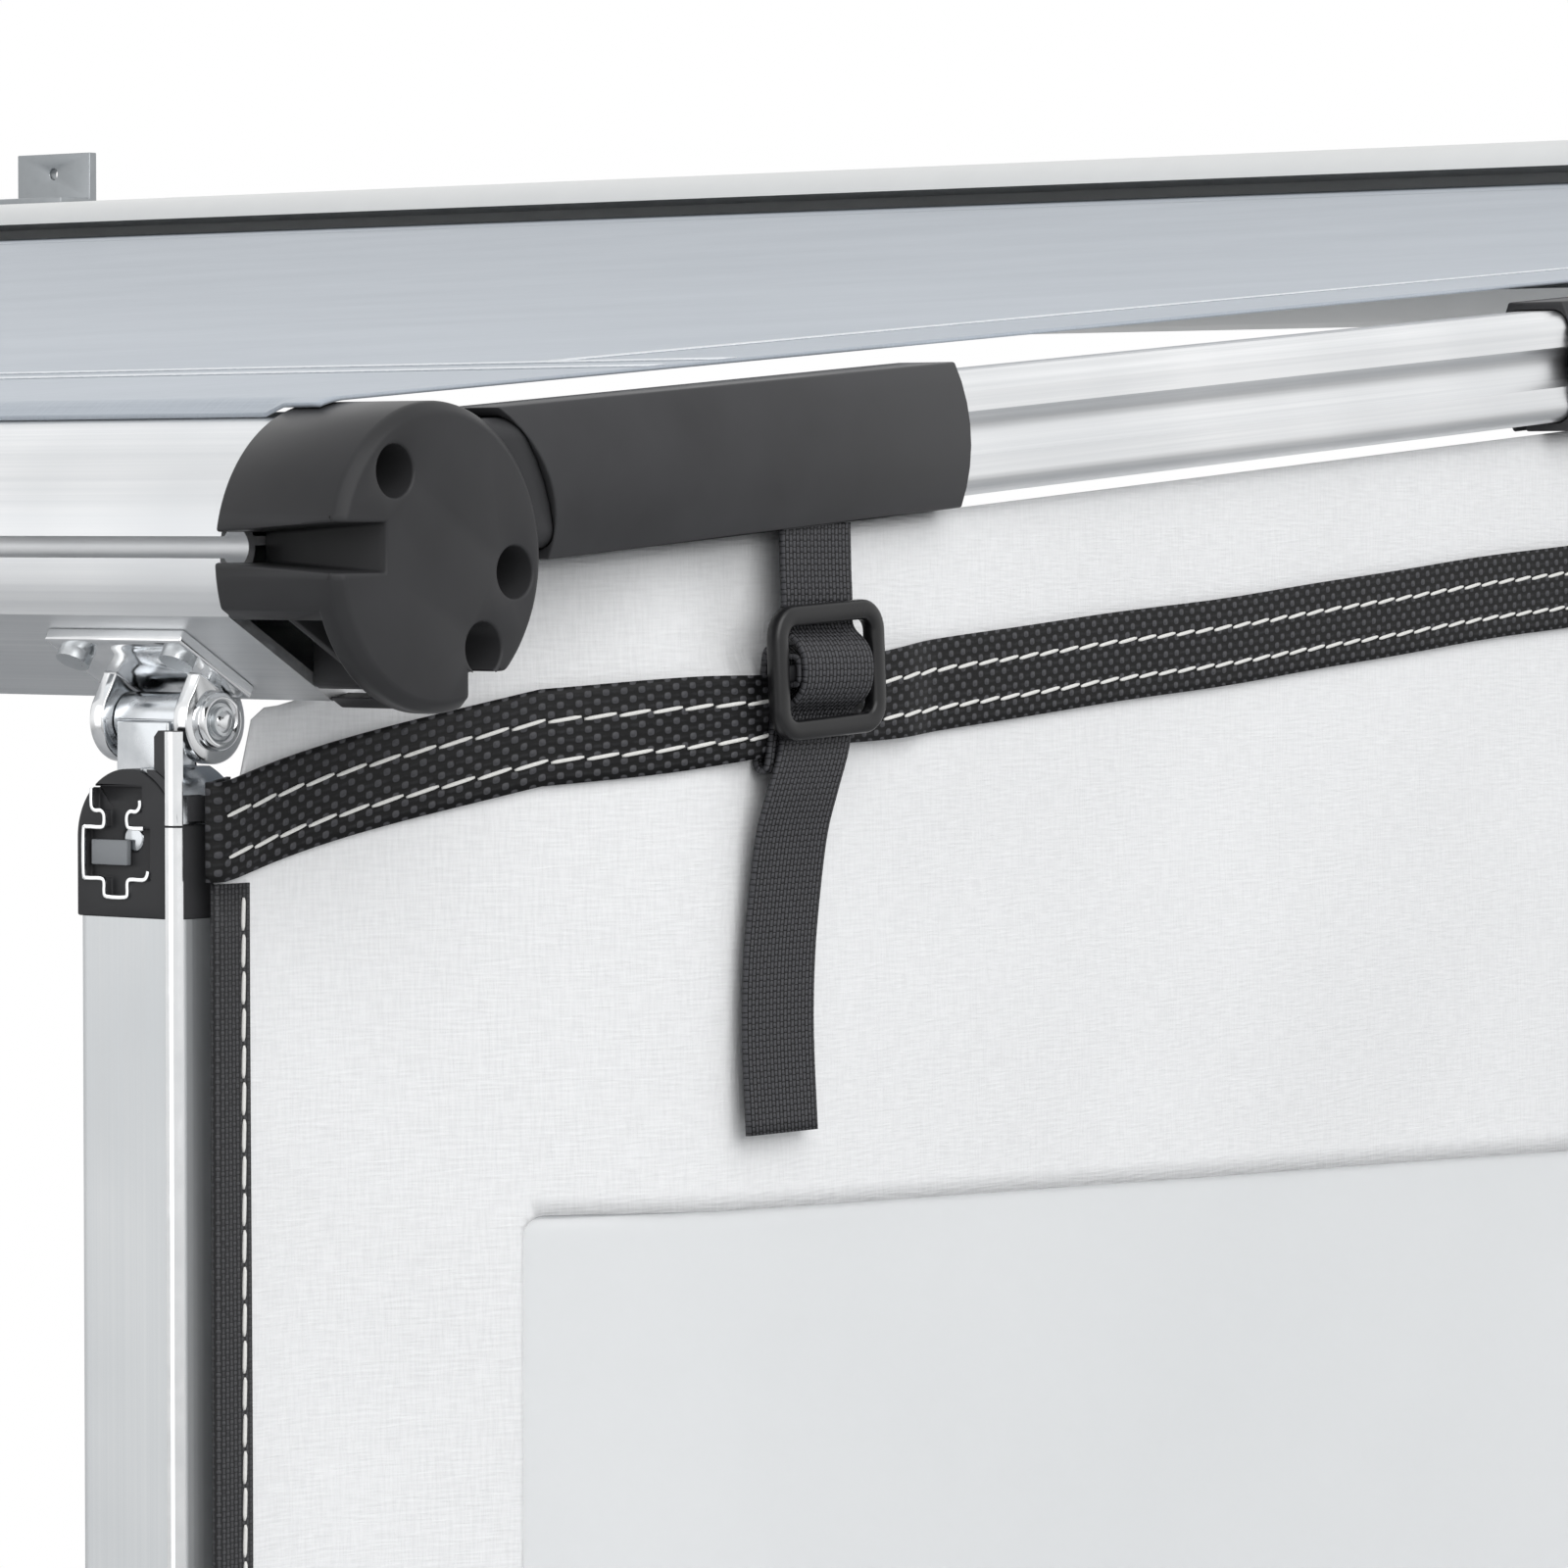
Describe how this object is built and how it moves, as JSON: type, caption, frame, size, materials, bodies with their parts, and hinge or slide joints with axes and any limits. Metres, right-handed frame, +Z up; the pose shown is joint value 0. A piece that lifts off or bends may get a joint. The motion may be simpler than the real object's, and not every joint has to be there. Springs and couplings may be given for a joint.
{
  "type": "roll out awning",
  "caption": "Wall-mounted roll out awning with spring roller case, telescopic rafters, lead rail, folding legs and a strapped side panel.",
  "frame": {"origin": "on the wall face, midway along the awning, at the height of the roller axis, which is the middle of the wall bolt pattern", "axes": "+X along the wall to the right seen from outside, +Y into the wall, +Z up"},
  "size_m": [2.486, 1.8395, 2.1853],
  "materials": {
    "aluminium": "satin anodised",
    "leg_aluminium": "satin anodised",
    "black_plastic": "satin moulded",
    "grey_plastic": "matt moulded",
    "zinc": "zinc plated",
    "bracket_steel": "powder coated",
    "chrome": "bright plated",
    "spring_steel": "oiled",
    "bush": "moulded acetal",
    "keder": "matt",
    "canopy": "coated cloth",
    "panel": "coated cloth",
    "film": "clear film over a white ground",
    "webbing": "woven",
    "rubber": "matt"
  },
  "bodies": {
    "case": {"case_shell": "aluminium", "case_end_cap_left": "black_plastic", "case_end_cap_right": "black_plastic", "case_screws": "zinc", "wall_bracket_left": "bracket_steel", "wall_bracket_right": "bracket_steel", "roller_bush": "bush", "spring_shaft": "zinc", "torsion_spring": "spring_steel", "rafter_bracket_left": "bracket_steel", "rafter_bracket_right": "bracket_steel", "rafter_pins": "zinc"},
    "roller": {"roller_tube": "aluminium", "roller_plug_left": "black_plastic", "roller_plug_right": "black_plastic", "canopy_roll": "canopy"},
    "rafters": {"rafter_rear_tube_left": "aluminium", "rafter_rear_tube_right": "aluminium", "rafter_rear_eyes": "black_plastic", "canopy": "canopy", "side_panel": "panel", "panel_window": "film", "panel_webbing": "webbing", "panel_binding": "webbing"},
    "front": {"lead_rail": "aluminium", "lead_rail_web": "aluminium", "lead_rail_lower": "aluminium", "end_cap_left": "black_plastic", "end_cap_right": "black_plastic", "rail_screws": "zinc", "canopy_keder": "keder", "rafter_front_tube_left": "aluminium", "rafter_front_tube_right": "aluminium", "rafter_front_plugs": "black_plastic", "rafter_collars": "black_plastic", "leg_bracket_left": "chrome", "leg_bracket_right": "chrome", "leg_tilt_pins": "chrome", "strap_sleeves": "black_plastic", "straps": "webbing", "buckles": "black_plastic"},
    "knob_left": {"rafter_knob_left": "black_plastic"},
    "knuckle_left": {"leg_knuckle_left": "chrome"},
    "leg_left": {"leg_head_left": "black_plastic", "leg_tube_left": "leg_aluminium", "leg_clamp_left": "black_plastic"},
    "latch_left": {"leg_latch_left": "grey_plastic"},
    "lever_left": {"leg_lever_left": "grey_plastic"},
    "leg_inner_left": {"leg_inner_left": "leg_aluminium"},
    "foot_left": {"leg_foot_left": "rubber"},
    "knob_right": {"rafter_knob_right": "black_plastic"},
    "knuckle_right": {"leg_knuckle_right": "chrome"},
    "leg_right": {"leg_head_right": "black_plastic", "leg_tube_right": "leg_aluminium", "leg_clamp_right": "black_plastic"},
    "latch_right": {"leg_latch_right": "grey_plastic"},
    "lever_right": {"leg_lever_right": "grey_plastic"},
    "leg_inner_right": {"leg_inner_right": "leg_aluminium"},
    "foot_right": {"leg_foot_right": "rubber"}
  },
  "joints": [
    {"name": "rafter_pitch", "type": "hinge", "parent": "case", "child": "rafters", "pos_m": [0, -0.112, -0.00393], "axis": [-1, 0, 0], "range_deg": [0, 8]},
    {"name": "roll_in", "type": "slide", "parent": "rafters", "child": "front", "axis": [0, 0.9969, 0.0785], "range_m": [0, 0.66], "deforming": ["canopy", "side_panel", "panel_window", "panel_webbing", "panel_binding"]},
    {"name": "roller_spin", "type": "hinge", "parent": "case", "child": "roller", "pos_m": [0, -0.048, 0], "axis": [-1, 0, 0], "range_deg": [0, 1686]},
    {"name": "rafter_lock_left", "type": "hinge", "parent": "front", "child": "knob_left", "pos_m": [-1.191, -0.81193, -0.05902], "axis": [-1, 0, 0], "range_deg": [0, 360]},
    {"name": "leg_tilt_left", "type": "hinge", "parent": "front", "child": "knuckle_left", "pos_m": [-1.1495, -1.80801, -0.1868], "axis": [1, 0, 0], "range_deg": [-12, 30]},
    {"name": "leg_fold_left", "type": "hinge", "parent": "knuckle_left", "child": "leg_left", "pos_m": [-1.1495, -1.8115, -0.2608], "axis": [0, -1, 0], "range_deg": [0, 90]},
    {"name": "leg_length_left", "type": "slide", "parent": "leg_left", "child": "leg_inner_left", "axis": [0, 0, 1], "range_m": [-0.05, 0.75]},
    {"name": "foot_tilt_left", "type": "hinge", "parent": "leg_inner_left", "child": "foot_left", "pos_m": [-1.1495, -1.8115, -2.08832], "axis": [1, 0, 0], "range_deg": [-30, 30]},
    {"name": "clamp_lever_left", "type": "hinge", "parent": "leg_left", "child": "lever_left", "pos_m": [-1.1495, -1.83, -1.2743], "axis": [-1, 0, 0], "range_deg": [0, 110]},
    {"name": "leg_latch_left", "type": "slide", "parent": "leg_left", "child": "latch_left", "axis": [0, 0, -1], "range_m": [0, 0.0024], "stiffness_N_per_m": 60, "springref_m": -0.004},
    {"name": "rafter_lock_right", "type": "hinge", "parent": "front", "child": "knob_right", "pos_m": [1.191, -0.81193, -0.05902], "axis": [1, 0, 0], "range_deg": [0, 360]},
    {"name": "leg_tilt_right", "type": "hinge", "parent": "front", "child": "knuckle_right", "pos_m": [1.1495, -1.80801, -0.1868], "axis": [1, 0, 0], "range_deg": [-12, 30]},
    {"name": "leg_fold_right", "type": "hinge", "parent": "knuckle_right", "child": "leg_right", "pos_m": [1.1495, -1.8115, -0.2128], "axis": [0, 1, 0], "range_deg": [0, 90]},
    {"name": "leg_length_right", "type": "slide", "parent": "leg_right", "child": "leg_inner_right", "axis": [0, 0, 1], "range_m": [-0.05, 0.75]},
    {"name": "foot_tilt_right", "type": "hinge", "parent": "leg_inner_right", "child": "foot_right", "pos_m": [1.1495, -1.8115, -2.08832], "axis": [1, 0, 0], "range_deg": [-30, 30]},
    {"name": "clamp_lever_right", "type": "hinge", "parent": "leg_right", "child": "lever_right", "pos_m": [1.1495, -1.83, -1.2263], "axis": [-1, 0, 0], "range_deg": [0, 110]},
    {"name": "leg_latch_right", "type": "slide", "parent": "leg_right", "child": "latch_right", "axis": [0, 0, -1], "range_m": [0, 0.0024], "stiffness_N_per_m": 60, "springref_m": -0.004}
  ],
  "couplings": [
    {"joint": "roller_spin", "follows": "roll_in", "rad_per_m": 44.444}
  ]
}
